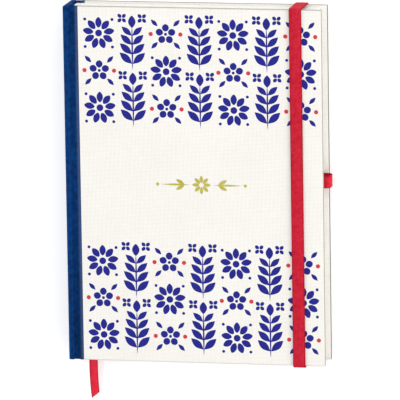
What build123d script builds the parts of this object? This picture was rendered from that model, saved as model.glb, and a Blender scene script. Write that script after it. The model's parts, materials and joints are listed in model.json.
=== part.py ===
"""Hardcover address book: a quarter-bound case, index sections, ribbon, pen loop and elastic band.

The book lies on its back cover. +X points to the fore-edge, +Y to the head, +Z out of the front cover.
The origin is the middle of the back cover's outer face. All sizes are in millimetres.
"""

import math
import os

from build123d import *

os.makedirs("parts", exist_ok=True)

# Case
cover_width = 120.0
cover_height = 165.0
board_thickness = 2.2
skin_thickness = 0.25
board_edge_radius = 0.4
turn_in_width = 12.0
cloth_lap = 1.35
joint_bead_clearance = 0.05
joint_strip_clearance = 0.075
joint_page_clearance = 0.2
joint_open_clearance = 0.5

# Book block
section_names = ["ab", "cd", "ef", "gh", "ij", "kl", "mn", "op", "qr", "st", "uvw", "xyz"]
section_thickness = 0.9
section_fold_radius = 0.4
section_gap = 0.06
endpaper_thickness = 0.15
block_clearance = 0.05
fore_edge_square = 3.5
head_square = 1.0
spine_hollow = 0.8
lining_thickness = 0.2
lining_clearance = 0.05
lining_inset = 5.0

# Ribbon bookmark
ribbon_width = 4.0
ribbon_thickness = 0.25
ribbon_clearance = 0.1
ribbon_offset = 9.5
ribbon_head_inset = 1.0
ribbon_slant_length = 45.0
ribbon_tail_length = 21.5
ribbon_end_slant = 3.2
ribbon_straight_length = 3.5
ribbon_droop_angle = 26.0

# Elastic closing band
band_width = 5.7
band_thickness = 0.8
band_offset = 11.9
band_corner_radius = 0.5
band_clearance = 0.03
band_end_length = 15.0
band_slot_clearance = 0.05

# Pen loop
loop_width = 5.7
loop_thickness = 0.5
loop_inner_width = 4.2
loop_inner_height = 7.2
loop_y = 2.0
loop_page_clearance = 0.3
loop_board_clearance = 0.08
loop_tail_length = 12.0
loop_tail_thickness = 1.1
loop_stem_width = 1.2
loop_slot_clearance = 0.05

# Levels, from the table upwards
board_bottom = skin_thickness
board_top = board_bottom + board_thickness
turn_in_top = board_top + skin_thickness
pastedown_top = turn_in_top + endpaper_thickness
block_bottom = pastedown_top + block_clearance
ribbon_gap = ribbon_thickness + 2 * ribbon_clearance
half_count = len(section_names) // 2
half_stack = half_count * (section_thickness + section_gap)
block_thickness = 2 * (endpaper_thickness + half_stack) + ribbon_gap
middle_level = block_bottom + block_thickness / 2
book_thickness = 2 * middle_level

# Places across the book, from the spine to the fore-edge
spine_face = -cover_width / 2
fore_edge = cover_width / 2
joint_bead_radius = skin_thickness / 2 + joint_strip_clearance
hinge_inset = block_bottom - joint_page_clearance - joint_bead_radius
hinge_x = spine_face + hinge_inset
spine_cloth_inner = hinge_x - joint_bead_radius
spine_board_inner = spine_cloth_inner - skin_thickness
spine_board_thickness = spine_board_inner - spine_face - skin_thickness
board_cloth_face = hinge_x + hinge_inset + joint_open_clearance
board_spine_edge = board_cloth_face + skin_thickness
cloth_edge = board_spine_edge + cloth_lap
board_fore_edge = fore_edge - skin_thickness
page_spine_edge = hinge_x + spine_hollow
page_fore_edge = fore_edge - fore_edge_square
page_width = page_fore_edge - page_spine_edge
page_middle_x = (page_fore_edge + page_spine_edge) / 2
page_height = cover_height - 2 * head_square
board_height = cover_height - 2 * skin_thickness
edge_radius = min(board_edge_radius, 0.45 * board_thickness)
skin_edge_radius = edge_radius + skin_thickness
band_x = fore_edge - band_offset
ribbon_x = spine_face + ribbon_offset
loop_inner_face = page_fore_edge + loop_page_clearance

middle_plane = Plane.XY.offset(middle_level)

# Cover boards: grey board, with hollows pressed by the band's ends and the pen loop's tail
board_width = board_fore_edge - board_spine_edge
board_middle_x = (board_fore_edge + board_spine_edge) / 2

with BuildPart() as board_blank:
    with BuildSketch(Plane.XY.offset(board_bottom)):
        with Locations((board_middle_x, 0)):
            Rectangle(board_width, board_height)
    extrude(amount=board_thickness)
    upright_edges = board_blank.edges().filter_by(Axis.Z)
    fillet(board_blank.edges() - upright_edges, radius=edge_radius)

with BuildPart() as front_board:
    mirror(board_blank.part, about=middle_plane)
front_board.part.label = "front_board"
export_step(front_board.part, "parts/front_board.step")

band_end_middle = board_height / 2 - band_end_length / 2
loop_tail_start = loop_inner_face - loop_tail_length
loop_tail_end = loop_inner_face + loop_stem_width
loop_tail_bottom = turn_in_top - loop_tail_thickness
loop_hollow_width = loop_tail_end - loop_tail_start + 2 * loop_slot_clearance

with BuildPart() as back_board:
    add(board_blank.part)
    with BuildSketch(Plane.XY.offset(board_bottom)):
        with Locations((band_x, band_end_middle), (band_x, -band_end_middle)):
            Rectangle(band_width + 2 * band_slot_clearance, band_end_length)
    extrude(amount=band_thickness + band_slot_clearance, mode=Mode.SUBTRACT)
    with BuildSketch(Plane.XY.offset(loop_tail_bottom - loop_slot_clearance)):
        with Locations(((loop_tail_start + loop_tail_end) / 2, loop_y)):
            Rectangle(loop_hollow_width, loop_width + 2 * loop_slot_clearance)
    extrude(amount=board_thickness, mode=Mode.SUBTRACT)

back_board.part.label = "back_board"
export_step(back_board.part, "parts/back_board.step")

# Covering paper: wraps the board and turns in over its head, tail and fore-edge
with BuildPart() as paper_blank:
    with BuildSketch(Plane.XY):
        with Locations(((cloth_edge + fore_edge) / 2, 0)):
            Rectangle(fore_edge - cloth_edge, cover_height)
    extrude(amount=turn_in_top)
    outer_edges = paper_blank.edges().filter_by(Axis.Y).group_by(Axis.X)[-1]
    outer_edges += paper_blank.edges().filter_by(Axis.X)
    fillet(outer_edges, radius=skin_edge_radius)
    add(board_blank.part, mode=Mode.SUBTRACT)
    window_end = fore_edge - turn_in_width
    with BuildSketch(Plane.XY.offset(board_top)):
        with Locations(((cloth_edge + window_end) / 2, 0)):
            Rectangle(window_end - cloth_edge, cover_height - 2 * turn_in_width)
    extrude(amount=skin_thickness, mode=Mode.SUBTRACT)

with BuildPart() as front_cover_paper:
    mirror(paper_blank.part, about=middle_plane)
front_cover_paper.part.label = "front_cover_paper"
export_step(front_cover_paper.part, "parts/front_cover_paper.step")

with BuildPart() as back_cover_paper:
    add(paper_blank.part)
    with BuildSketch(Plane.XY.offset(board_bottom)):
        with Locations((band_x, cover_height / 2), (band_x, -cover_height / 2)):
            Rectangle(band_width + 2 * band_slot_clearance, 2 * turn_in_width)
    extrude(amount=band_thickness + band_slot_clearance, mode=Mode.SUBTRACT)
    with BuildSketch(Plane.XY.offset(board_top)):
        with Locations(((loop_tail_start + loop_tail_end) / 2, loop_y)):
            Rectangle(loop_hollow_width, loop_width + 2 * loop_slot_clearance)
    extrude(amount=skin_thickness, mode=Mode.SUBTRACT)

back_cover_paper.part.label = "back_cover_paper"
export_step(back_cover_paper.part, "parts/back_cover_paper.step")

# Spine cloth on a board: laps the board, lines the groove and ends in a bead on the hinge line
joint_middle = (hinge_x + board_cloth_face) / 2

with BuildPart() as back_spine_cloth:
    with BuildSketch(Plane.XY):
        with Locations(((board_cloth_face + cloth_edge) / 2, 0)):
            Rectangle(cloth_edge - board_cloth_face, cover_height)
    extrude(amount=turn_in_top)
    outer_edges = back_spine_cloth.edges().filter_by(Axis.X)
    outer_edges += back_spine_cloth.edges().filter_by(Axis.Y).group_by(Axis.X)[0].sort_by(Axis.Z)[:1]
    fillet(outer_edges, radius=skin_edge_radius)
    add(board_blank.part, mode=Mode.SUBTRACT)
    with BuildSketch(Plane.XY.offset(board_top)):
        with Locations(((board_spine_edge + cloth_edge) / 2, 0)):
            Rectangle(cloth_edge - board_spine_edge, cover_height - 2 * turn_in_width)
    extrude(amount=skin_thickness, mode=Mode.SUBTRACT)
    with BuildSketch(Plane.XZ.offset(-cover_height / 2)):
        with Locations((joint_middle, hinge_inset)):
            Rectangle(board_cloth_face - hinge_x, skin_thickness)
        with Locations((hinge_x, hinge_inset)):
            Circle(joint_bead_radius)
    extrude(amount=cover_height)

back_spine_cloth.part.label = "back_spine_cloth"
export_step(back_spine_cloth.part, "parts/back_spine_cloth.step")

with BuildPart() as front_spine_cloth:
    mirror(back_spine_cloth.part, about=middle_plane)
front_spine_cloth.part.label = "front_spine_cloth"
export_step(front_spine_cloth.part, "parts/front_spine_cloth.step")

# Spine board and the cloth round it, with a hollow seat for the bead of each joint
spine_board_middle = (spine_face + skin_thickness + spine_board_inner) / 2
spine_board_width = book_thickness - 2 * skin_thickness
leg_height = hinge_inset + joint_bead_radius + joint_bead_clearance

with BuildPart() as spine_board:
    with BuildSketch(Plane.XZ.offset(-board_height / 2)):
        with Locations((spine_board_middle, middle_level)):
            Rectangle(spine_board_thickness, spine_board_width)
    extrude(amount=board_height)
    fillet(spine_board.faces().sort_by(Axis.X)[0].edges(), radius=edge_radius)

spine_board.part.label = "spine_board"
export_step(spine_board.part, "parts/spine_board.step")

with BuildPart() as spine_cloth:
    with BuildSketch(Plane.XZ.offset(-cover_height / 2)):
        with Locations(((spine_face + spine_cloth_inner) / 2, middle_level)):
            Rectangle(spine_cloth_inner - spine_face, book_thickness)
    extrude(amount=cover_height)
    fillet(spine_cloth.faces().sort_by(Axis.X)[0].edges(), radius=skin_edge_radius)
    add(spine_board.part, mode=Mode.SUBTRACT)
    with BuildSketch(Plane.YZ.offset(spine_board_inner)):
        with Locations((0, middle_level)):
            Rectangle(cover_height - 2 * turn_in_width, book_thickness - 2 * leg_height)
    extrude(amount=skin_thickness, mode=Mode.SUBTRACT)
    with BuildSketch(Plane.XZ.offset(-cover_height / 2)):
        with Locations((hinge_x, hinge_inset), (hinge_x, book_thickness - hinge_inset)):
            Circle(joint_bead_radius + joint_bead_clearance)
    extrude(amount=cover_height, mode=Mode.SUBTRACT)

spine_cloth.part.label = "spine_cloth"
export_step(spine_cloth.part, "parts/spine_cloth.step")

# Pastedowns: endpapers glued over the turn-ins and sunk onto the board between them
pastedown_end = page_fore_edge
pastedown_start = board_spine_edge

with BuildPart() as pastedown:
    with BuildSketch(Plane.XY.offset(turn_in_top)):
        with Locations(((pastedown_start + pastedown_end) / 2, 0)):
            Rectangle(pastedown_end - pastedown_start, page_height)
    extrude(amount=endpaper_thickness)
    with BuildSketch(Plane.XY.offset(board_top)):
        with Locations(((pastedown_start + window_end) / 2, 0)):
            Rectangle(window_end - pastedown_start, cover_height - 2 * turn_in_width)
    extrude(amount=skin_thickness)

with BuildPart() as front_pastedown:
    mirror(pastedown.part, about=middle_plane)
front_pastedown.part.label = "front_pastedown"
export_step(front_pastedown.part, "parts/front_pastedown.step")

with BuildPart() as back_pastedown:
    add(pastedown.part)
    with BuildSketch(Plane.XY.offset(board_top)):
        with Locations(((loop_tail_start + loop_tail_end) / 2, loop_y)):
            Rectangle(loop_hollow_width, loop_width + 2 * loop_slot_clearance)
    extrude(amount=skin_thickness, mode=Mode.SUBTRACT)

back_pastedown.part.label = "back_pastedown"
export_step(back_pastedown.part, "parts/back_pastedown.step")


# Leaves: two flyleaves, and the folded index sections between them
def make_leaf(name, bottom, thickness, fold_radius):
    """A slab of paper of the page's size, round along its spine fold where a radius is given."""
    with BuildPart() as leaf:
        with BuildSketch(Plane.XY.offset(bottom)):
            with Locations((page_middle_x, 0)):
                Rectangle(page_width, page_height)
        extrude(amount=thickness)
        if fold_radius:
            fillet(leaf.edges().filter_by(Axis.Y).group_by(Axis.X)[0], radius=fold_radius)
    leaf.part.label = name
    export_step(leaf.part, f"parts/{name}.step")


make_leaf("back_flyleaf", block_bottom, endpaper_thickness, 0)
make_leaf("front_flyleaf", block_bottom + block_thickness - endpaper_thickness, endpaper_thickness, 0)

section_pitch = section_thickness + section_gap
fold_radius = min(section_fold_radius, 0.45 * section_thickness)
for number, letters in enumerate(section_names):
    above_middle = half_count - 1 - number
    if number < half_count:
        bottom = middle_level + ribbon_gap / 2 + above_middle * section_pitch
    else:
        bottom = middle_level - ribbon_gap / 2 + above_middle * section_pitch + section_gap
    make_leaf(f"index_section_{letters}", bottom, section_thickness, fold_radius)

# Gauze lining across the folds of the sections
lining_face = page_spine_edge - lining_clearance
with BuildPart() as spine_lining:
    with BuildSketch(Plane.YZ.offset(lining_face - lining_thickness)):
        with Locations((0, middle_level)):
            Rectangle(page_height - 2 * lining_inset, block_thickness)
    extrude(amount=lining_thickness)

spine_lining.part.label = "spine_lining"
export_step(spine_lining.part, "parts/spine_lining.step")

# Ribbon bookmark: glued at the head of the spine, lies in the block's middle and droops at the tail
droop_start = -cover_height / 2 - ribbon_straight_length
droop_radius = (ribbon_tail_length - ribbon_straight_length) / math.radians(ribbon_droop_angle)
droop_middle = (droop_start, middle_level - droop_radius)
ribbon_head = page_height / 2 - ribbon_head_inset
ribbon_start_x = page_spine_edge + ribbon_width / 2
ribbon_bottom = middle_level - ribbon_thickness / 2

with BuildPart() as bookmark_ribbon:
    with BuildSketch(Plane.XY.offset(ribbon_bottom)):
        with BuildLine():
            left = Polyline(
                (ribbon_x - ribbon_width / 2, droop_start),
                (ribbon_x - ribbon_width / 2, ribbon_head - ribbon_slant_length),
                (ribbon_start_x - ribbon_width / 2, ribbon_head),
            )
            right = Polyline(
                (ribbon_x + ribbon_width / 2, droop_start),
                (ribbon_x + ribbon_width / 2, ribbon_head - ribbon_slant_length),
                (ribbon_start_x + ribbon_width / 2, ribbon_head),
            )
            Line(left @ 0, right @ 0)
            Line(left @ 1, right @ 1)
        make_face()
    extrude(amount=ribbon_thickness)
    with BuildSketch(Plane.YZ.offset(ribbon_x - ribbon_width / 2)):
        with BuildLine():
            upper = CenterArc(droop_middle, droop_radius + ribbon_thickness / 2, 90, ribbon_droop_angle)
            lower = CenterArc(droop_middle, droop_radius - ribbon_thickness / 2, 90, ribbon_droop_angle)
            Line(upper @ 0, lower @ 0)
            Line(upper @ 1, lower @ 1)
        make_face()
    extrude(amount=ribbon_width)
    tip = bookmark_ribbon.vertices().sort_by(Axis.Y)[0].Y
    with BuildSketch(Plane.XY):
        with BuildLine():
            Polyline(
                (ribbon_x - ribbon_width / 2, tip),
                (ribbon_x + ribbon_width / 2, tip),
                (ribbon_x + ribbon_width / 2, tip + ribbon_end_slant),
                close=True,
            )
        make_face()
    extrude(amount=middle_level + ribbon_thickness, mode=Mode.SUBTRACT)

bookmark_ribbon.part.label = "bookmark_ribbon"
export_step(bookmark_ribbon.part, "parts/bookmark_ribbon.step")

# Elastic band: crosses the front cover and comes down past its head and tail to the back cover's edge
band_inner_reach = cover_height / 2 + band_clearance
band_inner_top = book_thickness + band_clearance

with BuildPart() as elastic_band:
    with BuildSketch(Plane.YZ.offset(band_x - band_width / 2)):
        with BuildLine():
            inside = FilletPolyline(
                (-band_inner_reach, board_bottom),
                (-band_inner_reach, band_inner_top),
                (band_inner_reach, band_inner_top),
                (band_inner_reach, board_bottom),
                radius=band_corner_radius,
            )
            outside = FilletPolyline(
                (-band_inner_reach - band_thickness, board_bottom),
                (-band_inner_reach - band_thickness, band_inner_top + band_thickness),
                (band_inner_reach + band_thickness, band_inner_top + band_thickness),
                (band_inner_reach + band_thickness, board_bottom),
                radius=band_corner_radius + band_thickness,
            )
            Line(inside @ 0, outside @ 0)
            Line(inside @ 1, outside @ 1)
        make_face()
    extrude(amount=band_width)

elastic_band.part.label = "elastic_band"
export_step(elastic_band.part, "parts/elastic_band.step")

# The band's two ends, glued between the back board and its paper
end_length = band_inner_reach - board_height / 2 + band_end_length
end_middle = band_inner_reach - end_length / 2

for side, end_y in (("head", end_middle), ("tail", -end_middle)):
    with BuildPart() as band_end:
        with BuildSketch(Plane.XY.offset(board_bottom)):
            with Locations((band_x, end_y)):
                Rectangle(band_width, end_length)
        extrude(amount=band_thickness)
    band_end.part.label = f"elastic_band_end_{side}"
    export_step(band_end.part, f"parts/elastic_band_end_{side}.step")

# Pen loop: an upright oval of elastic at the fore-edge, its tail glued under the back pastedown
loop_bottom = turn_in_top + loop_board_clearance
loop_outer_width = loop_inner_width + 2 * loop_thickness
loop_outer_height = loop_inner_height + 2 * loop_thickness
loop_middle = (loop_inner_face + loop_outer_width / 2, loop_bottom + loop_outer_height / 2)
loop_inner_radius = 0.45 * min(loop_inner_width, loop_inner_height)

with BuildPart() as pen_loop:
    with BuildSketch(Plane.XZ.offset(-loop_y - loop_width / 2)):
        with Locations(loop_middle):
            RectangleRounded(loop_outer_width, loop_outer_height, loop_inner_radius + loop_thickness)
        stem_top = loop_middle[1]
        with Locations((loop_inner_face, loop_tail_bottom)):
            Rectangle(loop_stem_width, stem_top - loop_tail_bottom, align=(Align.MIN, Align.MIN))
        with Locations((loop_tail_start, loop_tail_bottom)):
            Rectangle(loop_tail_length, loop_tail_thickness, align=(Align.MIN, Align.MIN))
        with Locations(loop_middle):
            RectangleRounded(
                loop_inner_width, loop_inner_height, loop_inner_radius, mode=Mode.SUBTRACT
            )
    extrude(amount=loop_width)

pen_loop.part.label = "pen_loop"
export_step(pen_loop.part, "parts/pen_loop.step")

print(f"book thickness {book_thickness:.2f}, hinge lines at x {hinge_x:.2f}, z {hinge_inset:.2f}")
block_top = block_bottom + block_thickness
print(f"block from {block_bottom:.2f} to {block_top:.2f}, middle {middle_level:.3f}")
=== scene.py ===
# %% [markdown]
# # An address book, dressed over its CAD frame
# The book lies on its back cover, with its spine along -X and its head along +Y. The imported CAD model
# is loaded first. It gives every size below, so each piece that is modelled here lies where the real
# one does.

# %% Load the frame
import json
import math
import random

import bpy
from mathutils import Matrix, Vector


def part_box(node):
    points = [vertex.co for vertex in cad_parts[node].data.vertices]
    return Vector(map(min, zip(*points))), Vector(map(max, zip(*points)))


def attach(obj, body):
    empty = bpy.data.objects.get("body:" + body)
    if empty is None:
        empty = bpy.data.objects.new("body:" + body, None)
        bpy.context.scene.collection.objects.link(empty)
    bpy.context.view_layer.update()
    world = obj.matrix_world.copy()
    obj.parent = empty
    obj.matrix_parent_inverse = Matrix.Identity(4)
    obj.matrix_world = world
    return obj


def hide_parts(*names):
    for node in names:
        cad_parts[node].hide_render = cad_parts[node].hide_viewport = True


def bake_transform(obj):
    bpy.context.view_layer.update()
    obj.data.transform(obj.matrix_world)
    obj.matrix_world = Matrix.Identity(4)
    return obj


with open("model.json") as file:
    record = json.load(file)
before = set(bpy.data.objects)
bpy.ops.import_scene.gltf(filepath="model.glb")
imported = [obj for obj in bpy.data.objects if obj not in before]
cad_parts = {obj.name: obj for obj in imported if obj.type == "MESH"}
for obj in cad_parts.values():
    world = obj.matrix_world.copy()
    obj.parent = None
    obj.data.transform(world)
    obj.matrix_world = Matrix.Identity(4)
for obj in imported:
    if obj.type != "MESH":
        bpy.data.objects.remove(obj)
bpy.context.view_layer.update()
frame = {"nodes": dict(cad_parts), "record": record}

MM = 0.001

# %% [markdown]
# Boxes of a few nodes give the levels and edges that the soft pieces are fitted to. These numbers could
# be typed in, but they would then go wrong as soon as the CAD changed. Working in millimetres keeps
# them readable, and each point is scaled to metres only where a mesh is made.

# %% Levels and edges, in millimetres


def box_mm(node):
    """A node's lowest and highest corner in millimetres."""
    low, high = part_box(node)
    return Vector(low) / MM, Vector(high) / MM


paper_low, paper_high = box_mm("front_cover_paper")
spine_low, spine_high = box_mm("spine_cloth")
board_low, board_high = box_mm("front_board")
leaf_low, leaf_high = box_mm("front_flyleaf")
THICKNESS = paper_high.z
HALF_HEIGHT = paper_high.y
FORE_EDGE = paper_high.x
SPINE_FACE = spine_low.x
PAPER_EDGE = paper_low.x
SKIN = THICKNESS - board_high.z
PAGE_SPINE = leaf_low.x
PAGE_FORE = leaf_high.x
PAGE_HALF = leaf_high.y
MIDDLE = THICKNESS / 2
print("book", round(THICKNESS, 2), "mm thick, covering", round(SKIN, 2), "mm")

# %% [markdown]
# Every finish is a node material. Math nodes could be added and linked one by one, but that takes many
# lines and hides the formula. Here a small class wraps a socket, so that shader maths reads like
# arithmetic: each operator adds one Math node and hands back its output.

# %% A socket that can be reckoned with


class Shade:
    """One output of a material's nodes, with the operators that the finishes below use."""

    def __init__(self, finish, socket):
        self.finish = finish
        self.socket = socket

    def math(self, operation, *others):
        inputs = dict(enumerate((self, *others)))
        return self.finish.node("ShaderNodeMath", {"operation": operation}, inputs)

    def __add__(self, other):
        return self.math("ADD", other)

    __radd__ = __add__

    def __sub__(self, other):
        return self.math("SUBTRACT", other)

    def __rsub__(self, other):
        return self.math("MULTIPLY", -1.0).math("ADD", other)

    def __mul__(self, other):
        return self.math("MULTIPLY", other)

    __rmul__ = __mul__

    def __gt__(self, other):
        return self.math("GREATER_THAN", other)

    def __lt__(self, other):
        return self.math("LESS_THAN", other)

    def sine(self):
        return self.math("SINE")

    def size(self):
        return self.math("ABSOLUTE")

    def wrapped(self, length):
        """The remainder on a repeat of that length, counted from 0."""
        return self.math("FLOORED_MODULO", length)

    def rise(self, low, high):
        """0 below low and 1 above high, smooth between them."""
        settings = {"interpolation_type": "SMOOTHSTEP"}
        inputs = {"Value": self, "From Min": low, "From Max": high}
        return self.finish.node("ShaderNodeMapRange", settings, inputs)


# %% [markdown]
# A finish is one material. Every node in it comes from one method, which takes the node's type, its
# settings and its inputs, so no kind of node needs code of its own. Short methods on top of it give
# what the finishes use most: a place in millimetres, noise, a mix of two colours and a bump. The studio
# is lit a fifth brighter than a screen's white, so that the floor burns out behind the book. A colour
# that is judged on a screen is therefore taken down by as much, and then looks as it was meant to.

# %% A material and its nodes
LIGHT_LEVEL = 1.2


class Finish:
    """One material: its shader, and the one method that adds any other node to it."""

    def __init__(self, name, roughness=0.6, **fixed):
        self.material = bpy.data.materials.new(name)
        self.material.use_nodes = True
        self.tree = self.material.node_tree
        self.shader = self.tree.nodes["Principled BSDF"]
        self.set("Roughness", roughness)
        for socket, value in fixed.items():
            self.set(socket.replace("_", " "), value)

    def node(self, kind, settings, inputs, output=0):
        made = self.tree.nodes.new(kind)
        for name, value in settings.items():
            setattr(made, name, value)
        for name, value in inputs.items():
            self.feed(made.inputs[name], value)
        return Shade(self, made.outputs[output])

    def feed(self, socket, value):
        if isinstance(value, Shade):
            self.tree.links.new(value.socket, socket)
        else:
            socket.default_value = value

    def set(self, socket, value):
        self.feed(self.shader.inputs[socket], value)

    def place(self, factors=(1 / MM, 1 / MM, 1 / MM)):
        """The piece's own coordinates as one vector, in millimetres unless other factors are given."""
        coordinates = self.node("ShaderNodeTexCoord", {}, {}, "Object")
        settings = {"operation": "MULTIPLY"}
        return self.node("ShaderNodeVectorMath", settings, {0: coordinates, 1: factors})

    def split(self, vector):
        """The three numbers of a vector."""
        made = self.tree.nodes.new("ShaderNodeSeparateXYZ")
        self.feed(made.inputs[0], vector)
        return [Shade(self, socket) for socket in made.outputs]

    def facing(self):
        """How far the surface looks along the piece's own X, Y and Z."""
        return self.split(self.node("ShaderNodeTexCoord", {}, {}, "Normal"))

    def noise(self, vector, scale, detail=2.0):
        inputs = {"Vector": vector, "Scale": scale, "Detail": detail}
        return self.node("ShaderNodeTexNoise", {}, inputs)

    def mix(self, factor, first, second):
        inputs = {"Factor": factor, 6: first, 7: second}
        return self.node("ShaderNodeMix", {"data_type": "RGBA"}, inputs, 2)

    def bump(self, height, depth, strength=1.0):
        inputs = {"Height": height, "Distance": depth, "Strength": strength}
        self.set("Normal", self.node("ShaderNodeBump", {}, inputs))


def linear(level):
    """One channel of a screen colour, 0 to 255, in the linear values that shaders take."""
    share = level / 255
    return ((share + 0.055) / 1.055) ** 2.4 if share > 0.04 else share / 12.92


def colour(red, green, blue):
    """The surface colour that looks like this screen colour in the studio's light."""
    levels = (linear(red), linear(green), linear(blue))
    return (*(level / LIGHT_LEVEL for level in levels), 1.0)


def dress(piece, finish):
    """Gives a piece one finish."""
    piece.data.materials.clear()
    piece.data.materials.append(finish.material)


print("middle grey on a screen is", round(linear(128), 3), "to a shader")

# %% [markdown]
# The cover paper is ivory and embossed like linen: threads run both ways, and each is a little thick in
# places. An image of linen would tile and blur, so two sine waves make the threads, and noise stretched
# along each thread makes its slubs. Where the paper turns over a board's edge, height takes the place
# of the direction that ends there, and the threads go on round the edge. The paper's hollows between
# threads take a darker tone than the raised threads, as painted shade, with a faint random cloud. The
# edges are painted a tone darker than the sides, as painted shade where the paper turns away from the
# light. The fore-edges are darker still, and the back cover's is the darkest: a painted shadow line
# along the book's outline. Ink sits on the same emboss, so one function makes paper and inks alike.

# %% Linen-embossed paper and inks
THREAD_PITCH = 0.62
SLUB_LONG = 260.0
SLUB_NARROW = 2600.0
SLUB_DEEP = 900.0
SLUB_SHIFT = 3.0
EMBOSS_DEPTH = 0.05
EDGE_START, EDGE_FULL = 0.3, 0.95


def linen(finish):
    """Height of the linen emboss, from about 0 to 1."""
    x, y, z = finish.split(finish.place())
    facing_x, facing_y, _ = finish.facing()
    slub_across = finish.noise(finish.place((SLUB_LONG, SLUB_NARROW, SLUB_DEEP)), 1.0)
    slub_along = finish.noise(finish.place((SLUB_NARROW, SLUB_LONG, SLUB_DEEP)), 1.0)
    turns = 2 * math.pi / THREAD_PITCH
    round_head = y + z * facing_y.size()
    round_fore_edge = x + z * facing_x.size()
    across = (round_head * turns + slub_across * SLUB_SHIFT).sine() * slub_across
    along = (round_fore_edge * turns + slub_along * SLUB_SHIFT).sine() * slub_along
    return (across + along) * 0.7 + 0.5


def on_linen(name, roughness, high, low):
    """Paper or ink on the linen emboss, and its tone between raised threads and hollows."""
    finish = Finish(name, roughness, Specular_IOR_Level=0.25)
    height = linen(finish)
    cloud = finish.noise(finish.place(), 0.05)
    tone = finish.mix((height + cloud * 0.5).rise(0.3, 1.0), low, high)
    finish.set("Base Color", tone)
    finish.bump(height, EMBOSS_DEPTH * MM, 0.7)
    return finish, tone


# Painted shade: darker tones for the board edges and the fore-edges; the back cover's fore-edge gets the
# darkest, a painted shadow line.
BOARD_EDGE_PAINTED_SHADE = colour(174, 169, 160)
FRONT_FORE_EDGE_PAINTED_SHADE = colour(156, 151, 143)
BACK_FORE_EDGE_PAINTED_SHADOW = colour(104, 100, 94)
blue_ink, _ = on_linen("blue_ink", 0.55, colour(8, 16, 130), colour(22, 30, 144))
red_ink, _ = on_linen("red_ink", 0.55, colour(206, 42, 56), colour(216, 70, 78))
# On the paper, the low tone is the one in the hollows between threads: painted shade, mixed with a random
# cloud.
cover_paper, ivory = on_linen("linen_paper", 0.72, colour(251, 249, 244), colour(236, 232, 224))
_, _, paper_z = cover_paper.split(cover_paper.place())
paper_side_x, _, paper_side_z = cover_paper.facing()
# Painted shade on the faces that turn away from the top and bottom, and more on the fore-edges.
painted_edge_shade_mask = 1.0 - paper_side_z.size().rise(EDGE_START, EDGE_FULL)
fore_side = paper_side_x.rise(EDGE_START, EDGE_FULL)
fore_edge_painted_shade = cover_paper.mix(paper_z > MIDDLE, BACK_FORE_EDGE_PAINTED_SHADOW, FRONT_FORE_EDGE_PAINTED_SHADE)
edge_painted_shade = cover_paper.mix(fore_side, BOARD_EDGE_PAINTED_SHADE, fore_edge_painted_shade)
cover_paper.set("Base Color", cover_paper.mix(painted_edge_shade_mask, ivory, edge_painted_shade))
print("nodes in the linen paper:", len(cover_paper.tree.nodes))

# %% [markdown]
# The spine is covered with navy bookcloth. Close to, it is a plain weave, and its threads vary in
# shade, which makes the soft mottling that shows from further off. So there are two scales here: the
# size of a sine wave gives rounded threads with a valley between, and slow noise gives the mottling. On
# the boards, where the cloth climbs from the groove over the paper's edge, it is painted paler: a
# painted highlight on the slope that faces the light.

# %% Bookcloth
CLOTH_PITCH = 0.5
WEAVE_DEPTH = 0.08
LAP_WIDTH = 2.6
LAP_END = 0.3
LAP_PAINTED_HIGHLIGHT = 0.5

bookcloth = Finish("bookcloth", 0.85, Specular_IOR_Level=0.1)
cloth_place = bookcloth.place()
cloth_x, cloth_y, cloth_z = bookcloth.split(cloth_place)
half_turns = math.pi / CLOTH_PITCH
warp = (cloth_y * half_turns).sine().size()
weft = ((cloth_x + cloth_z) * half_turns).sine().size()
threads = warp + weft
mottle = bookcloth.noise(cloth_place, 0.45, 4.0)
fleck = bookcloth.noise(cloth_place, 2.2, 2.0)
shade = (mottle * 0.9 + fleck * 0.35 + threads * 0.16).rise(0.55, 1.1)
# Painted highlight: the lap is mixed towards a paler blue where the cloth climbs onto the board.
lap = cloth_x.rise(PAPER_EDGE - LAP_WIDTH, PAPER_EDGE - LAP_END) * LAP_PAINTED_HIGHLIGHT
cloth_blue = bookcloth.mix(shade, colour(0, 38, 93), colour(3, 69, 136))
bookcloth.set("Base Color", bookcloth.mix(lap, cloth_blue, colour(88, 104, 138)))
bookcloth.bump(threads + fleck * 0.6, WEAVE_DEPTH * MM, 0.8)
print("threads to a centimetre of cloth:", round(10 / CLOTH_PITCH))

# %% [markdown]
# Inside are plain endpapers and ruled pages, on which every fourth rule is heavier and parts one entry
# from the next. The rules could be thin strips of mesh, but a repeat in the shader costs nothing and
# never lifts off the leaf. They are drawn only where a leaf's broad side faces out, and there the paper
# is creamy. The trimmed edges stay plain and whiter: painted light, which brightens the edges of the
# leaves in the shade between the boards.

# %% Paper inside the book
RULE_PITCH = 8.0
RULE_WIDTH = 0.22
ENTRY_PITCH = 4 * RULE_PITCH
ENTRY_RULE_WIDTH = 0.4
RULE_STRENGTH = 0.5
ENTRY_RULE_STRENGTH = 0.4
RULE_MARGIN = 6.0
HEAD_MARGIN = 9.0
BROAD_SIDE = 0.9
CREAM_SHARE = 0.7
TOOTH_DEPTH = 0.02


def plain_paper(name, light, dark):
    """Uncoated paper with a faint cloudy tone and a fine tooth."""
    finish = Finish(name, 0.8)
    where = finish.place()
    tone = finish.noise(where, 0.12, 3.0)
    tooth = finish.noise(where, 9.0, 2.0)
    finish.bump(tooth, TOOTH_DEPTH * MM, 0.3)
    return finish, finish.mix(tone, dark, light)


endpaper, endpaper_tone = plain_paper("endpaper", colour(250, 247, 240), colour(243, 239, 229))
endpaper.set("Base Color", endpaper_tone)

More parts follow.
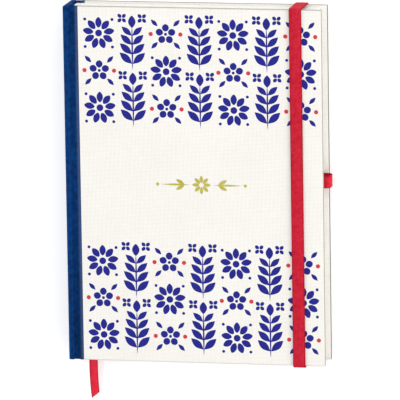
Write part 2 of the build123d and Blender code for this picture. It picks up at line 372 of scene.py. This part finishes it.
page_paper, page_tone = plain_paper("page_paper", colour(253, 253, 249), colour(247, 247, 240))
page_x, page_y, _ = page_paper.split(page_paper.place())
_, _, page_side_z = page_paper.facing()
from_rule = (page_y.wrapped(RULE_PITCH) - RULE_PITCH / 2).size()
rule = 1.0 - from_rule.rise(RULE_WIDTH / 2, RULE_WIDTH)
from_entry_rule = (page_y.wrapped(ENTRY_PITCH) - RULE_PITCH / 2).size()
entry_rule = 1.0 - from_entry_rule.rise(ENTRY_RULE_WIDTH / 2, ENTRY_RULE_WIDTH)
inside_x = (page_x > PAGE_SPINE + RULE_MARGIN) * (page_x < PAGE_FORE - RULE_MARGIN)
ruled_half = PAGE_HALF - HEAD_MARGIN
inside_y = page_y.size() < ruled_half
broad = page_side_z.size() > BROAD_SIDE
# Painted light: only the broad sides turn creamy, so the trimmed edges stay whiter, as if lit in the
# shade between the boards.
cream_with_painted_edge_light = page_paper.mix(broad * CREAM_SHARE, page_tone, colour(238, 234, 223))
rules = rule * RULE_STRENGTH + entry_rule * ENTRY_RULE_STRENGTH
ruled = rules * inside_x * inside_y * broad
page_paper.set("Base Color", page_paper.mix(ruled, cream_with_painted_edge_light, colour(150, 165, 200)))

grey_board, board_tone = plain_paper("grey_board", colour(158, 152, 142), colour(132, 126, 116))
grey_board.set("Base Color", board_tone)
print("rules on a page: about", round(2 * ruled_half / RULE_PITCH))

# %% [markdown]
# The closing band and the pen loop are woven elastic: ribs run along its length, and fine picks cross
# them. Along each side, at the selvedge, the colour is darker. The ribs have to follow the strap
# round its bends, which plain coordinates can't do, so the finish reads a UV map that the strip helper
# lays, with u across the strap and v along it, in millimetres. The satin ribbon and the gauze are the
# same weave at other sizes.

# %% Elastic, ribbon, gauze and foil
BAND_WIDTH = 5.7
RIBBON_WIDTH = 4.0
SELVEDGE_SHADE = 0.45
SELVEDGE_SHARE = 0.75
FOIL_DEPTH = 0.03


def woven_strap(name, tones, roughness, width, selvedge, rib, pick, depth, **fixed):
    """A narrow woven band with ribs along it, picks across it and a selvedge along each side."""
    dark, light = tones
    finish = Finish(name, roughness, **fixed)
    across, along, _ = finish.split(finish.node("ShaderNodeUVMap", {"uv_map": "strap"}, {}))
    ribs = (across * (2 * math.pi / rib)).sine()
    picks = (along * (2 * math.pi / pick) + ribs * 1.5).sine()
    weave = ribs * 0.6 + picks * 0.4
    tone = finish.noise(finish.place(), 0.6, 3.0)
    body = finish.mix((weave * 0.3 + tone).rise(0.1, 0.9), dark, light)
    side = across.size().rise(width / 2 - selvedge, width / 2) * SELVEDGE_SHARE
    side_tone = (*(level * SELVEDGE_SHADE for level in dark[:3]), 1.0)
    finish.set("Base Color", finish.mix(side, body, side_tone))
    finish.bump(weave, depth * MM, 0.7)
    return finish


BAND_REDS = (colour(186, 20, 42), colour(220, 45, 66))
RIBBON_REDS = (colour(226, 14, 46), colour(254, 34, 68))
GAUZE_TONES = (colour(205, 200, 186), colour(236, 232, 220))
GAUZE_WIDTH = 200.0  # wider than the strip, so that no selvedge shows on it
elastic_weave = {"width": BAND_WIDTH, "selvedge": 0.6, "rib": 0.62, "pick": 0.5, "depth": 0.1}
satin_weave = {"width": RIBBON_WIDTH, "selvedge": 0.8, "rib": 0.16, "pick": 0.3, "depth": 0.02}
gauze_weave = {"width": GAUZE_WIDTH, "selvedge": 0.1, "rib": 1.1, "pick": 1.1, "depth": 0.1}
elastic = woven_strap("woven_elastic", BAND_REDS, 0.7, **elastic_weave, Specular_IOR_Level=0.05)
satin = woven_strap("satin_ribbon", RIBBON_REDS, 0.4, **satin_weave, Specular_IOR_Level=0.25)
gauze = woven_strap("gauze", GAUZE_TONES, 0.9, **gauze_weave)

gold_foil = Finish("gold_foil", 0.36, Metallic=1.0)
gold_cloud = gold_foil.noise(gold_foil.place(), 0.3, 2.0)
gold_tones = gold_foil.mix(gold_cloud, colour(190, 180, 64), colour(224, 214, 118))
gold_foil.set("Base Color", gold_tones)
gold_foil.bump(linen(gold_foil), FOIL_DEPTH * MM, 0.3)
print("finishes:", len(bpy.data.materials))

# %% [markdown]
# The boards, the cover papers and the endpapers already have their true shape in CAD. They could be
# modelled again here, but nothing would be gained, so they only get their finish.

# %% Finishes for the CAD pieces
cad_finishes = {
    "front_board": grey_board,
    "back_board": grey_board,
    "spine_board": grey_board,
    "front_cover_paper": cover_paper,
    "back_cover_paper": cover_paper,
    "front_spine_cloth": bookcloth,
    "back_spine_cloth": bookcloth,
    "spine_cloth": bookcloth,
    "front_pastedown": endpaper,
    "back_pastedown": endpaper,
    "front_flyleaf": endpaper,
    "back_flyleaf": endpaper,
}
for node, finish in cad_finishes.items():
    dress(frame["nodes"][node], finish)
print("CAD nodes with a finish:", len(cad_finishes))

# %% [markdown]
# Straps and sheets of paper are all the same kind of thing: a flat strip that follows a path. A curve
# with a profile would give that shape too, but no UV map in millimetres. So the helper adds a grid
# primitive with as many rows as the path has steps, lays each row on its point, and writes the map that
# the woven finishes read. A Solidify modifier then gives the strip its thickness.

# %% A strip along a path
BEVEL_SEGMENTS = 2
BEVEL_ANGLE = 50


def only(piece):
    """Selects one object and makes it active."""
    bpy.ops.object.select_all(action="DESELECT")
    piece.select_set(True)
    bpy.context.view_layer.objects.active = piece


def apply_modifiers(piece):
    """Applies every modifier of a piece, in order."""
    only(piece)
    for modifier in list(piece.modifiers):
        bpy.ops.object.modifier_apply(modifier=modifier.name)


def thicken(piece, thickness, round_edges=0.0):
    """Turns a sheet into a closed solid about its middle surface, with its edges rounded if asked."""
    solid = piece.modifiers.new("thickness", "SOLIDIFY")
    solid.thickness = thickness * MM
    solid.offset = 0.0
    if round_edges:
        bevel = piece.modifiers.new("edges", "BEVEL")
        bevel.width = round_edges * MM
        bevel.segments = BEVEL_SEGMENTS
        bevel.limit_method = "ANGLE"
        bevel.angle_limit = math.radians(BEVEL_ANGLE)
    apply_modifiers(piece)


def distances(path):
    """How far along a path each of its points is."""
    run = [0.0]
    for before, after in zip(path, path[1:]):
        run.append(run[-1] + (Vector(after) - Vector(before)).length)
    return run


def strip(name, path, width_direction, width):
    """A flat strip along points in millimetres, as wide as asked along one direction, with its UV map."""
    half = Vector(width_direction).normalized() * (width / 2)
    steps = len(path) - 1
    bpy.ops.object.select_all(action="DESELECT")
    bpy.ops.mesh.primitive_grid_add(x_subdivisions=1, y_subdivisions=steps, size=1)
    piece = bpy.context.active_object
    piece.name = piece.data.name = name
    run = distances(path)
    layer = piece.data.uv_layers.new(name="strap")
    rows = {}
    for vertex in piece.data.vertices:
        row = round((vertex.co.y + 0.5) * steps)
        side = 1 if vertex.co.x > 0 else -1
        rows[vertex.index] = (side * width / 2, run[row])
        vertex.co = (Vector(path[row]) + half * side) * MM
    for loop in piece.data.loops:
        layer.data[loop.index].uv = rows[loop.vertex_index]
    piece.data.uv_layers.remove(piece.data.uv_layers["UVMap"])
    only(piece)
    bpy.ops.object.shade_smooth()
    return piece


def arc(centre, radius, start, end, steps):
    """Points on an arc in a plane, as pairs, from one angle in degrees to another."""
    angles = [math.radians(start + (end - start) * i / steps) for i in range(steps + 1)]
    return [(centre[0] + radius * math.cos(a), centre[1] + radius * math.sin(a)) for a in angles]


# %% [markdown]
# The cloth bends along two grooves, one beside each board. One stiff piece would tear or cut into the
# spine when the case opens. So the covering there is a separate liner, which runs from the lap on the
# board, down into the groove and up over the spine's edge.

# %% Cloth in the two joints
GROOVE_DEPTH = 1.1
EDGE_RADIUS = 0.55
GROOVE_RADIUS = 0.55
SPINE_EDGE_RADIUS = 0.5
LINER_LIFT = 0.04
LINER_THICKNESS = 0.07
LINER_LAP = 0.5
LINER_TRIM = 0.1
EDGE_STEPS = 6
GROOVE_STEPS = 8


def joint_position(name):
    """A joint's place at rest, in millimetres."""
    joint = next(j for j in frame["record"]["behaviour"]["joints"] if j["name"] == name)
    return Vector(joint["pos_m"]) / MM


hinge = joint_position("cover_open")
groove_board = board_low.x - SKIN - LINER_LIFT
groove_spine = spine_high.x + LINER_LIFT
liner_top = THICKNESS + LINER_LIFT / 2
groove_floor = liner_top - GROOVE_DEPTH


def groove_path():
    """The liner's route across the front groove, from the lap to the spine, as pairs of x and z."""
    lap_corner = (groove_board + EDGE_RADIUS, liner_top - EDGE_RADIUS)
    board_foot = (groove_board - GROOVE_RADIUS, groove_floor + GROOVE_RADIUS)
    spine_foot = (groove_spine + GROOVE_RADIUS, groove_floor + GROOVE_RADIUS)
    spine_corner = (groove_spine - SPINE_EDGE_RADIUS, liner_top - SPINE_EDGE_RADIUS)
    route = [(lap_corner[0] + LINER_LAP, liner_top)]
    route += arc(lap_corner, EDGE_RADIUS, 90, 180, EDGE_STEPS)
    route += arc(board_foot, GROOVE_RADIUS, 0, -90, GROOVE_STEPS)
    route += arc(spine_foot, GROOVE_RADIUS, -90, -180, GROOVE_STEPS)
    route += arc(spine_corner, SPINE_EDGE_RADIUS, 0, 90, EDGE_STEPS)
    route.append((spine_corner[0] - LINER_LAP, liner_top))
    return route


def joint_liner(name, level):
    """One groove's liner; level turns a height on the front into the same place on this cover."""
    path = [(x, 0, level(z)) for x, z in groove_path()]
    liner = strip(name, path, (0, 1, 0), 2 * HALF_HEIGHT - LINER_TRIM)
    thicken(liner, LINER_THICKNESS)
    dress(liner, bookcloth)
    middle = level(hinge.z) * MM
    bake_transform(liner)


joint_liner("front_joint_cloth", lambda z: z)
joint_liner("back_joint_cloth", lambda z: THICKNESS - z)
print("cloth in a joint:", round(distances(groove_path())[-1], 1), "mm from board to spine")

# %% [markdown]
# Each index section is four sheets folded once and nested, so eight leaves. A solid block with lines
# painted on it would look flat, and here the folds show at the spine's head and the leaves at the
# fore-edge. So every sheet is a strip along a narrow U. The trimmed edges are never quite level, which
# a small random inset shows.

# %% Index sections of folded sheets
SHEETS = 4
SHEET_THICKNESS = 0.1
TRIM_SPREAD = 0.05
FOLD_STEPS = 8
SMOOTH_ANGLE = 35
random.seed(16)


def folded_sheet(name, low, high, depth):
    """One folded sheet that lies this far inside its section, measured at the middle of the paper."""
    top, bottom = high.z - depth, low.z + depth
    radius = (top - bottom) / 2
    fold = (low.x + depth + radius, (top + bottom) / 2)
    fore = high.x - random.uniform(0, TRIM_SPREAD)
    route = [(fore, top)] + arc(fold, radius, 90, 270, FOLD_STEPS) + [(fore, bottom)]
    sheet = strip(name, [(x, 0, z) for x, z in route], (0, 1, 0), high.y - low.y)
    thicken(sheet, SHEET_THICKNESS)
    return sheet


def joined(name, parts):
    """Several objects as one."""
    only(parts[0])
    for part in parts:
        part.select_set(True)
    if len(parts) > 1:
        bpy.ops.object.join()
    parts[0].name = parts[0].data.name = name
    return parts[0]


section_nodes = sorted(name for name in frame["nodes"] if name.startswith("index_section_"))
for node in section_nodes:
    low, high = box_mm(node)
    letters = node.removeprefix("index_section_")
    # The innermost sheet lies half a step from the section's middle.
    step = (high.z - low.z - SHEET_THICKNESS) / 2 / (SHEETS - 0.5)
    depths = [SHEET_THICKNESS / 2 + i * step for i in range(SHEETS)]
    section = joined(f"leaves_{letters}", [folded_sheet(node, low, high, depth) for depth in depths])
    only(section)
    bpy.ops.object.shade_smooth_by_angle(angle=math.radians(SMOOTH_ANGLE))
    dress(section, page_paper)
    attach(section, f"section_{letters}")
    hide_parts(node)
print("sections:", len(section_nodes), "leaves:", 2 * SHEETS * len(section_nodes))

# %% [markdown]
# A strip of gauze is glued across the folds. Here it is a flat strip that fills the CAD lining's box.

# %% Gauze lining
LINING_STEPS = 16

lining_low, lining_high = box_mm("spine_lining")
lining_x = (lining_low.x + lining_high.x) / 2
lining_height = lining_high.y - lining_low.y
lining_reach = lining_high.z - lining_low.z
lining_levels = [lining_low.z + lining_reach * i / LINING_STEPS for i in range(LINING_STEPS + 1)]
lining_route = [(lining_x, 0, z) for z in lining_levels]
lining = strip("spine_gauze", lining_route, (0, 1, 0), lining_height)
thicken(lining, lining_high.x - lining_low.x)
dress(lining, gauze)
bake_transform(lining)
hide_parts("spine_lining")
print("gauze:", round(lining_reach, 1), "by", round(lining_height, 1), "mm")

# %% [markdown]
# The bookmark is a satin ribbon. It lies flat between the middle leaves, slants from the head of the
# spine, and droops where it comes out at the tail. Its end is cut at a slant so that it doesn't fray. A
# bisect makes that cut, as scissors do, so the weave's map isn't bent by it.

# %% Ribbon bookmark
RIBBON_THICKNESS = 0.22
RIBBON_OFFSET = 9.5
RIBBON_INSET = 1.0
RIBBON_X = SPINE_FACE + RIBBON_OFFSET
RIBBON_HEAD = PAGE_HALF - RIBBON_INSET
RIBBON_SLANT = 45.0
RIBBON_STRAIGHT = 3.5
RIBBON_TAIL = 21.5
RIBBON_DROOP = 26.0
RIBBON_END_SLANT = 3.2
DROOP_STEPS = 14

droop_start = -HALF_HEIGHT - RIBBON_STRAIGHT
droop_radius = (RIBBON_TAIL - RIBBON_STRAIGHT) / math.radians(RIBBON_DROOP)
droop_centre = (droop_start, MIDDLE - droop_radius)
droop = arc(droop_centre, droop_radius, 90, 90 + RIBBON_DROOP, DROOP_STEPS)
ribbon_route = [
    (PAGE_SPINE + RIBBON_WIDTH / 2, RIBBON_HEAD, MIDDLE),
    (RIBBON_X, RIBBON_HEAD - RIBBON_SLANT, MIDDLE),
    (RIBBON_X, -PAGE_HALF, MIDDLE),
]
ribbon_route += [(RIBBON_X, y, z) for y, z in droop]
ribbon = strip("satin_bookmark", ribbon_route, (1, 0, 0), RIBBON_WIDTH)
only(ribbon)
bpy.ops.object.mode_set(mode="EDIT")
bpy.ops.mesh.select_all(action="SELECT")
tip = Vector((RIBBON_X - RIBBON_WIDTH / 2, droop[-1][0], 0)) * MM
slant = math.atan2(RIBBON_END_SLANT, RIBBON_WIDTH)
cut_away = (math.sin(slant), -math.cos(slant), 0)
bpy.ops.mesh.bisect(plane_co=tip, plane_no=cut_away, clear_outer=True, use_fill=False)
bpy.ops.object.mode_set(mode="OBJECT")
thicken(ribbon, RIBBON_THICKNESS)
dress(ribbon, satin)
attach(ribbon, "ribbon")
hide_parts("bookmark_ribbon")
print("ribbon:", round(distances(ribbon_route)[-1]), "mm long")

# %% [markdown]
# The closing band is one strap. Its ends lie glued between the back board and its paper, it comes out
# through a slit at each edge, and it crosses the front cover. CAD has it as three solids, but a real
# strap shows no break where it leaves the board, so here it is one strip.

# %% Elastic band
BAND_EDGE = 0.22
BAND_TURN = 0.73
BAND_CORNER = 0.9
UPRIGHT_STEPS = 14
RUN_STEPS = 12
BAND_END_TRIM = 0.1
BEND_STEPS = 6

band_low, band_high = box_mm("elastic_band")
end_low, end_high = box_mm("elastic_band_end_head")
band_thickness = end_high.z - end_low.z
band_x = (band_low.x + band_high.x) / 2
end_level = (end_low.z + end_high.z) / 2
edge_reach = band_high.y - band_thickness / 2
run_level = band_high.z - band_thickness / 2


def between(first, last, steps):
    """Points between two pairs, without the two themselves."""
    pairs = [Vector(first).lerp(Vector(last), i / steps) for i in range(1, steps)]
    return [tuple(pair) for pair in pairs]


turn_middle = (edge_reach - BAND_TURN, end_level + BAND_TURN)
corner_middle = (edge_reach - BAND_CORNER, run_level - BAND_CORNER)
head_half = [(end_low.y + BAND_END_TRIM, end_level)]
head_half += arc(turn_middle, BAND_TURN, -90, 0, BEND_STEPS)
head_half += between((edge_reach, turn_middle[1]), (edge_reach, corner_middle[1]), UPRIGHT_STEPS)
head_half += arc(corner_middle, BAND_CORNER, 0, 90, BEND_STEPS)
head_half += between((corner_middle[0], run_level), (0, run_level), RUN_STEPS)
tail_half = [(-y, z) for y, z in reversed(head_half)]
band_route = [(band_x, y, z) for y, z in head_half + [(0, run_level)] + tail_half]
band = strip("woven_band", band_route, (1, 0, 0), band_high.x - band_low.x)
thicken(band, band_thickness, BAND_EDGE)
dress(band, elastic)
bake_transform(band)
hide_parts("elastic_band", "elastic_band_end_head", "elastic_band_end_tail")
print("band:", round(distances(band_route)[-1]), "mm of elastic")

# %% [markdown]
# The pen loop is a short piece of the same elastic. It rises from under the back pastedown, goes up
# past the fore-edge of the leaves and over, and comes back to its own foot. A torus would be quicker,
# but elastic is flat, and only a strip has its selvedges.

# %% Pen loop
LOOP_THICKNESS = 0.5
LOOP_RADIUS = 2.14
LOOP_FOOT_RADIUS = 0.7
LOOP_EDGE = 0.15
LOOP_OFF_LEAVES = 0.3
LOOP_BOTTOM = 2.78
LOOP_OFF_BOARD = 0.08
LOOP_END_TRIM = 0.1
LOOP_STEPS = 10

loop_low, loop_high = box_mm("pen_loop")
wall = PAGE_FORE + LOOP_OFF_LEAVES + LOOP_THICKNESS / 2
outer_wall = loop_high.x - LOOP_THICKNESS / 2
loop_top = loop_high.z - LOOP_THICKNESS / 2
loop_floor = LOOP_BOTTOM + LOOP_THICKNESS / 2
tail_level = LOOP_BOTTOM - LOOP_OFF_BOARD - LOOP_THICKNESS / 2
foot_middle = (wall - LOOP_FOOT_RADIUS, tail_level + LOOP_FOOT_RADIUS)
bends = [
    (foot_middle, LOOP_FOOT_RADIUS, -90, 0, BEND_STEPS),
    ((wall + LOOP_RADIUS, loop_top - LOOP_RADIUS), LOOP_RADIUS, 180, 90, LOOP_STEPS),
    ((outer_wall - LOOP_RADIUS, loop_top - LOOP_RADIUS), LOOP_RADIUS, 90, 0, LOOP_STEPS),
    ((outer_wall - LOOP_RADIUS, loop_floor + LOOP_RADIUS), LOOP_RADIUS, 0, -90, LOOP_STEPS),
]
loop_section = [(loop_low.x + LOOP_END_TRIM, tail_level)]
for bend in bends:
    loop_section += arc(*bend)
loop_section.append((wall + LOOP_THICKNESS, loop_floor))
loop_y = (loop_low.y + loop_high.y) / 2
loop_route = [(x, loop_y, z) for x, z in loop_section]
loop = strip("woven_pen_loop", loop_route, (0, 1, 0), loop_high.y - loop_low.y)
thicken(loop, LOOP_THICKNESS, LOOP_EDGE)
dress(loop, elastic)
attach(loop, "back_cover")
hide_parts("pen_loop")
print("pen loop:", round(distances(loop_route)[-1]), "mm of elastic")

# %% [markdown]
# The cover's print is a plain repeat, in two bands with bare paper between. Round flowers, large and
# small by turns, stand in every other column, and twigs with paired leaves in the columns between them.
# A shader could draw it, but shapes with points and gaps are easier to cut than to reckon. So each
# motif is cut once as a flat plate from a filled circle, which is drawn out and pointed, and is then
# copied. Ink has next to no thickness: the plates are a few hundredths of a millimetre, and one that
# crosses others lies a hair higher.

# %% Cutting and copying a motif
INK_THICKNESS = 0.03
INK_LIFT = 0.003
OVERPRINT = 0.008


def plate(name, corners, length, width, point):
    """A flat petal or leaf from the origin along +Y; point goes from 0, round, to 1, sharp."""
    bpy.ops.object.select_all(action="DESELECT")
    bpy.ops.mesh.primitive_circle_add(vertices=corners, radius=0.5, fill_type="NGON")
    piece = bpy.context.active_object
    piece.name = piece.data.name = name
    bpy.ops.object.mode_set(mode="EDIT")
    bpy.ops.mesh.select_all(action="SELECT")
    bpy.ops.transform.translate(value=(0, 0.5, 0))
    bpy.ops.transform.resize(value=(width * MM, length * MM, MM), center_override=(0, 0, 0))
    bpy.ops.object.mode_set(mode="OBJECT")
    for vertex in piece.data.vertices:
        along = vertex.co.y / (length * MM)
        vertex.co.x *= 1 - point * (2 * along - 1) ** 2
    return piece


def copies(name, pattern, places, lift=0.0):
    """Copies of one flat motif; a place is x and y in millimetres, a turn in degrees and a scale."""
    made = []
    for x, y, turn, scale in places:
        copy = pattern.copy()
        copy.data = pattern.data.copy()
        spin = Matrix.Rotation(math.radians(turn), 4, "Z") @ Matrix.Scale(scale, 4)
        copy.data.transform(Matrix.Translation((x * MM, y * MM, lift * MM)) @ spin)
        bpy.context.collection.objects.link(copy)
        made.append(copy)
    return joined(name, made)


def ring(count, radius, first_turn=0.0, scale=1.0):
    """Places round the origin for motifs that point outwards."""
    places = []
    for i in range(count):
        turn = first_turn + i * 360 / count
        lean = math.radians(turn)
        places.append((-radius * math.sin(lean), radius * math.cos(lean), turn, scale))
    return places


def dot(x, y, radius=1.0):
    """The place that centres the disc on a point at this radius; the disc's own radius is 1 mm."""
    return (x, y - radius, 0, radius)


def without(*patterns):
    """Deletes patterns that have been copied."""
    for pattern in patterns:
        bpy.data.objects.remove(pattern)


# %% [markdown]
# A large flower is a daisy of nine petals, a small one has five rounder petals between four leaflets,
# and a star has four. A ring of places makes each of them, so a change to one petal changes the whole
# flower. A twig is a stalk with pairs of leaves that grow shorter upwards, and a bud at its tip.

# %% Motifs of the print
LEAF_LEAN = 48
LEAF_START = 0.25
BUD_RISE = 19.6
TWIG_LEAVES = ((3.0, 1.0), (7.4, 0.97), (11.8, 0.9), (16.0, 0.8))

disc = plate("disc", corners=16, length=2.0, width=2.0, point=0.0)
leaf_shape = plate("leaf_shape", corners=20, length=7.6, width=3.3, point=0.72)

daisy_petal = plate("daisy_petal", corners=20, length=4.9, width=3.0, point=0.3)
daisy_parts = [
    copies("daisy_petals", daisy_petal, ring(9, 2.5)),
    copies("daisy_eye", disc, [dot(0, 0, 1.6)]),
    copies("daisy_dots", disc, [dot(x, y, 0.7) for x, y, _, _ in ring(4, 9.0, 45)]),
]
daisy = joined("daisy", daisy_parts)

blossom_petal = plate("blossom_petal", corners=20, length=3.4, width=3.2, point=0.1)
blossom_parts = [
    copies("blossom_petals", blossom_petal, ring(5, 1.3)),
    copies("blossom_eye", disc, [dot(0, 0, 0.7)]),
    copies("blossom_leaflets", leaf_shape, ring(4, 5.2, 45, 0.56)),
]
blossom = joined("blossom", blossom_parts)

star_petal = plate("star_petal", corners=14, length=2.2, width=1.7, point=0.2)
star = copies("star", star_petal, ring(4, 0.35, 45))

stalk = plate("stalk", corners=10, length=20.5, width=0.75, point=0.3)
bud = plate("bud", corners=20, length=5.6, width=3.5, point=0.5)
leaf_places = []
for rise, size in TWIG_LEAVES:
    leaf_places.append((-LEAF_START, rise, LEAF_LEAN, size))
    leaf_places.append((LEAF_START, rise, -LEAF_LEAN, size))
twig_parts = [
    copies("twig_leaves", leaf_shape, leaf_places),
    copies("twig_stalk", stalk, [(0, 0, 0, 1.0)], OVERPRINT),
    copies("twig_bud", bud, [(0, BUD_RISE, 0, 1.0)]),
]
twig = joined("twig", twig_parts)
print("faces in a daisy:", len(daisy.data.polygons), "and in a twig:", len(twig.data.polygons))

# %% [markdown]
# The repeat is set out by loops over the columns and the rows, once for the band at the head and once,
# further down, for the band at the tail. An array modifier could repeat a row, but it couldn't change
# from flower to flower. Red berries stand beside the small flowers, and stars over the twigs.

# %% Setting out the print
COLUMNS = 7
COLUMN_PITCH = 15.6
ROWS = 3
ROW_PITCH = 17.3
FIRST_ROW = 35.7
TWIG_PITCH = 26.4
FIRST_TWIG = 27.0
BAND_DROP = 106.0
STAR_SIDE, STAR_RISE = 4.7, 24.0
BERRY_SIDE = 6.9
PRINT_MIDDLE = (PAPER_EDGE + FORE_EDGE) / 2

daisies, blossoms, twigs, stars, berries = [], [], [], [], []
for drop in (0, BAND_DROP):
    for column in range(COLUMNS):
        x = PRINT_MIDDLE + (column - (COLUMNS - 1) / 2) * COLUMN_PITCH
        if column % 2:
            for foot in (FIRST_TWIG - drop, FIRST_TWIG + TWIG_PITCH - drop):
                twigs.append((x, foot, 0, 1.0))
                stars += [(x + side, foot + STAR_RISE, 0, 1.0) for side in (-STAR_SIDE, STAR_SIDE)]
            continue
        for row in range(ROWS):
            y = FIRST_ROW + row * ROW_PITCH - drop
            if (row + column // 2) % 2:
                blossoms.append((x, y, 0, 1.0))
                berries += [dot(x + side, y) for side in (-BERRY_SIDE, BERRY_SIDE)]
            else:
                daisies.append((x, y, 0, 1.0))

blue_parts = [
    copies("print_daisies", daisy, daisies),
    copies("print_blossoms", blossom, blossoms),
    copies("print_twigs", twig, twigs),
    copies("print_stars", star, stars),
]
blue_print = joined("blue_print", blue_parts)
red_print = copies("red_print", disc, berries)
without(disc, leaf_shape, daisy_petal, blossom_petal, star_petal, stalk, bud)
without(daisy, blossom, star, twig)
print("flowers:", len(daisies) + len(blossoms), "twigs:", len(twigs), "berries:", len(berries))

# %% [markdown]
# In the bare middle stands a gold foil ornament: a rosette between two tapered rules, each with a pair
# of leaves and a dot at its end. It is stamped, not printed, so its finish is metal. Its plates are cut
# in the same way as the ink's, because foil is as thin.

# %% Foil ornament
ORNAMENT_Y = 0.8
FOIL_RULE_START = 5.4
FOIL_LEAF_START = 8.0
FOIL_LEAF_RISE = 0.3
FOIL_LEAF_LEAN = 62
FOIL_DOT_PLACE = 20.4
FOIL_DOT_SIZE = 1.5

foil_petal = plate("foil_petal", corners=18, length=3.4, width=1.7, point=0.4)
foil_rule = plate("foil_rule", corners=24, length=13.4, width=0.9, point=0.8)
foil_leaf = plate("foil_leaf", corners=18, length=4.4, width=1.7, point=0.55)
foil_dot = plate("foil_dot", corners=14, length=FOIL_DOT_SIZE, width=FOIL_DOT_SIZE, point=0.0)
foil_rules, foil_leaves, foil_dots = [], [], []
for side in (-1, 1):
    foil_rules.append((side * FOIL_RULE_START, 0, side * -90, 1.0))
    foil_leaves.append((side * FOIL_LEAF_START, FOIL_LEAF_RISE, side * -FOIL_LEAF_LEAN, 1.0))
    foil_leaves.append((side * FOIL_LEAF_START, -FOIL_LEAF_RISE, side * (FOIL_LEAF_LEAN - 180), 1.0))
    foil_dots.append((side * FOIL_DOT_PLACE, -FOIL_DOT_SIZE / 2, 0, 1.0))
ornament_parts = [
    copies("foil_rosette", foil_petal, ring(8, 0.9)),
    copies("foil_rules", foil_rule, foil_rules, OVERPRINT),
    copies("foil_leaves", foil_leaf, foil_leaves),
    copies("foil_dots", foil_dot, foil_dots),
]
ornament = joined("foil_ornament", ornament_parts)
ornament.data.transform(Matrix.Translation((PRINT_MIDDLE * MM, ORNAMENT_Y * MM, 0)))
without(foil_petal, foil_rule, foil_leaf, foil_dot)

# %% [markdown]
# Ink and foil are flat sheets so far, at the level of the table. They are lifted onto the cover and
# thickened, and they ride on it. Each is one object, because one ink is one pass through the press.

# %% Ink and foil on the cover
for piece, finish in ((blue_print, blue_ink), (red_print, red_ink), (ornament, gold_foil)):
    piece.data.transform(Matrix.Translation((0, 0, (THICKNESS + INK_LIFT) * MM)))
    thicken(piece, INK_THICKNESS)
    dress(piece, finish)
    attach(piece, "front_cover")
    print(piece.name, len(piece.data.polygons), "faces")

# %% [markdown]
# The camera looks down on the front cover from a little towards the fore-edge and the head, so that
# both edges of the block show. A near camera would make the far side of the cover smaller, and here the
# sides look parallel, so it stands far off with a long lens.

# %% Camera
CAMERA_TO_FORE_EDGE = 11.5
CAMERA_TO_HEAD = 11.2
CAMERA_ROLL = -0.89
CAMERA_DISTANCE = 3.0
CAMERA_LENS = 589.1
SENSOR_WIDTH = 36.0
CAMERA_REACH = 20.0
AIM = Vector((0.91, -7.97, MIDDLE)) * MM

bpy.ops.object.camera_add()
camera = bpy.context.active_object
camera.data.lens = CAMERA_LENS
camera.data.sensor_width = SENSOR_WIDTH
camera.data.clip_end = CAMERA_REACH
to_fore, to_head = math.radians(CAMERA_TO_FORE_EDGE), math.radians(CAMERA_TO_HEAD)
upright = math.cos(to_fore)
back = Vector((math.sin(to_fore), math.sin(to_head) * upright, math.cos(to_head) * upright))
right = Vector((0, 1, 0)).cross(back).normalized()
up = back.cross(right)
turn = Matrix((right, up, back)).transposed() @ Matrix.Rotation(math.radians(CAMERA_ROLL), 3, "Z")
camera.matrix_world = Matrix.Translation(AIM + back * CAMERA_DISTANCE) @ turn.to_4x4()
bpy.context.scene.camera = camera
print("view of", round(CAMERA_DISTANCE * SENSOR_WIDTH / CAMERA_LENS / MM), "mm")

# %% [markdown]
# The book lies on a white floor in a studio. White paper on white shows only by the thin lines at its
# edges, so the floor is lit until it burns out, and the book's paper isn't. As on a photographer's light
# table, the floor glows a little as well, which thins the shadows round the book. A small key light
# stands above. Wide lights low beside the fore-edge and the head reach the edges of the leaves, another
# stands at the spine, and the rest comes evenly from the sky.

# %% Floor and light
FLOOR_SIZE = 6.0
FLOOR_LEVEL = -0.0002
FLOOR_WHITE = 0.97
FLOOR_GLOW = 0.14
SKY_STRENGTH = 0.73
# Each light's name, its place and size in metres, and its power in watts
STUDIO_LIGHTS = (
    ("key_light", (-0.12, 0.25, 1.45), 0.3, 3.2),
    ("fore_edge_fill", (1.2, 0.15, 0.35), 1.0, 14.5),
    ("head_fill", (0.1, 1.1, 0.7), 1.0, 3.0),
    ("spine_fill", (-1.2, 0.1, 0.7), 1.2, 4.6),
)

bpy.ops.mesh.primitive_plane_add(size=FLOOR_SIZE, location=(0, 0, FLOOR_LEVEL))
floor = bpy.context.active_object
floor.name = "floor"
floor_finish = Finish("pale_floor", 0.9)
floor_finish.set("Base Color", (FLOOR_WHITE, FLOOR_WHITE, FLOOR_WHITE, 1.0))
floor_finish.set("Emission Color", (1.0, 1.0, 1.0, 1.0))
floor_finish.set("Emission Strength", FLOOR_GLOW)
dress(floor, floor_finish)


def soft_light(name, place, size, power):
    """A square studio light that looks at the book."""
    bpy.ops.object.light_add(type="AREA", location=place)
    light = bpy.context.active_object
    light.name = name
    light.data.size = size
    light.data.energy = power
    light.rotation_euler = Vector(place).to_track_quat("Z", "Y").to_euler()


for light_values in STUDIO_LIGHTS:
    soft_light(*light_values)
world = bpy.data.worlds.new("studio")
world.use_nodes = True
sky = world.node_tree.nodes["Background"]
sky.inputs["Color"].default_value = (1, 1, 1, 1)
sky.inputs["Strength"].default_value = SKY_STRENGTH
bpy.context.scene.world = world
bpy.context.scene.view_settings.view_transform = "Standard"
print("lights:", len(bpy.data.lights))
